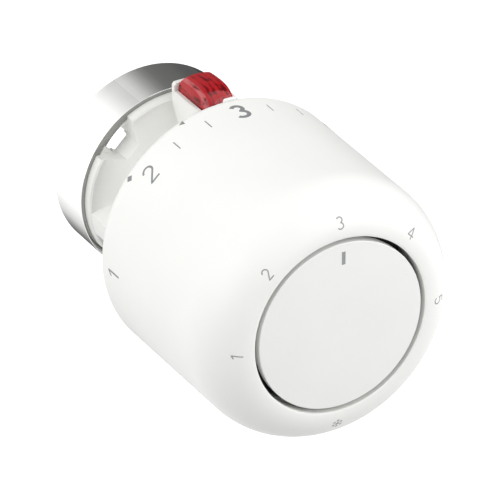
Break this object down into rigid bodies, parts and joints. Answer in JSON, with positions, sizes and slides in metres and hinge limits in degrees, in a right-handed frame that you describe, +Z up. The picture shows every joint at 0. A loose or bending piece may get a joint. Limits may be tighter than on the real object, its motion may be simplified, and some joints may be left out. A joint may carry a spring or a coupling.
{
  "type": "thermostatic radiator valve head",
  "caption": "Round setting knob on a push-on base with a polished locking collar, a red release button and a liquid-filled sensor that closes the valve as the room warms.",
  "frame": {"origin": "centre of the valve-neck bore in the collar's rear plane", "axes": "+Y along the bore's axis towards the valve, so the front cap looks along -Y; +Z up through the setting pointer; +X to the right as seen from the front"},
  "size_m": [0.05, 0.0693, 0.05],
  "materials": {
    "base_plastic": "satin moulded white",
    "knob_plastic": "satin moulded white",
    "cap_plastic": "satin moulded white",
    "collar_chrome": "polished",
    "button_red": "translucent, polished",
    "inner_plastic": "moulded",
    "pin_plastic": "moulded",
    "spring_steel": "drawn wire",
    "sensor_metal": "drawn",
    "bellows_bronze": "formed"
  },
  "bodies": {
    "base": {"base_body": "base_plastic", "locking_collar": "collar_chrome", "clamp_spring": "spring_steel", "guide_tube": "inner_plastic", "front_cap": "cap_plastic", "retaining_ring": "spring_steel", "setting_pointer": "cap_plastic", "release_spring": "spring_steel", "return_spring": "spring_steel"},
    "knob": {"knob_shell": "knob_plastic", "thread_sleeve": "inner_plastic", "limit_pins": "pin_plastic"},
    "carriage": {"sensor_carrier": "inner_plastic", "sensor_can": "sensor_metal", "can_end_plate": "sensor_metal", "bellows": "bellows_bronze", "filling_tube": "bellows_bronze", "overload_spring": "spring_steel", "spring_retainer": "inner_plastic"},
    "thrust": {"push_rod": "spring_steel", "spring_plate": "sensor_metal", "plunger": "base_plastic"},
    "release": {"release_button": "button_red", "release_wedge": "base_plastic"}
  },
  "joints": [
    {"name": "knob_turn", "type": "hinge", "parent": "base", "child": "knob", "pos_m": [0, -0.045, 0], "axis": [0, -1, 0], "range_deg": [-180, 92]},
    {"name": "sensor_advance", "type": "slide", "parent": "base", "child": "carriage", "axis": [0, -1, 0], "range_m": [-0.00325, 0.00168]},
    {"name": "plunger_push", "type": "slide", "parent": "carriage", "child": "thrust", "axis": [0, 1, 0], "range_m": [0, 0.0015], "stiffness_N_per_m": 1200, "springref_m": -0.001, "deforming": ["bellows", "return_spring"]},
    {"name": "button_press", "type": "slide", "parent": "base", "child": "release", "axis": [0, 0, -1], "range_m": [0, 0.0016], "stiffness_N_per_m": 1200, "springref_m": -0.001, "deforming": ["release_spring", "clamp_spring"]}
  ],
  "couplings": [
    {"joint": "sensor_advance", "follows": "knob_turn", "m_per_rad": 0.0010186}
  ]
}
